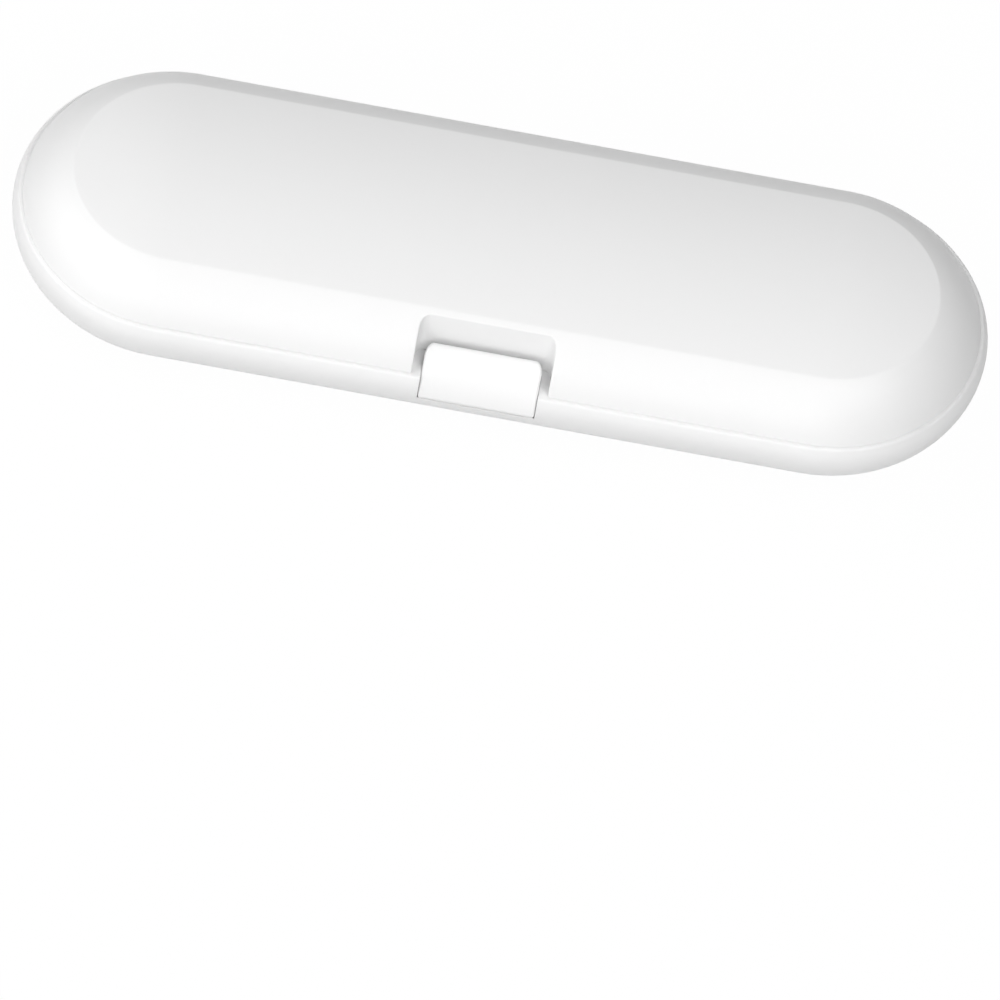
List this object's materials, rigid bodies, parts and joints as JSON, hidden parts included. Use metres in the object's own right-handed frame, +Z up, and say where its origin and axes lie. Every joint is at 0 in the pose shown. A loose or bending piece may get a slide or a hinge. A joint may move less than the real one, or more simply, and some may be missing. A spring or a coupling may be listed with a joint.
{
  "type": "electric toothbrush travel case",
  "caption": "Long rounded travel case: a crowned lid hinged to a lower shell, a flip latch in a finger pocket, and an inner tray for a handle and spare heads.",
  "frame": {"origin": "middle of the case's footprint, on the surface that it rests on", "axes": "+X along the case to the right as the latch is faced, +Y to the hinge side with the latch at -Y, +Z up through the lid"},
  "size_m": [0.2158, 0.0733, 0.0335],
  "materials": {
    "shell_plastic": "soft gloss",
    "tray_plastic": "fine matte",
    "pin_steel": "drawn wire"
  },
  "bodies": {
    "base": {"lower_shell": "shell_plastic", "inner_tray": "tray_plastic", "latch_pin": "pin_steel", "hinge_pin_left": "pin_steel", "hinge_pin_right": "pin_steel"},
    "lid": {"upper_shell": "shell_plastic"},
    "latch": {"latch": "shell_plastic"}
  },
  "joints": [
    {"name": "lid_hinge", "type": "hinge", "parent": "base", "child": "lid", "pos_m": [0, 0.0348, 0.015], "axis": [-1, 0, 0], "range_deg": [0, 150]},
    {"name": "latch_flip", "type": "hinge", "parent": "base", "child": "latch", "pos_m": [0, -0.033, 0.0161], "axis": [1, 0, 0], "range_deg": [0, 65]}
  ]
}
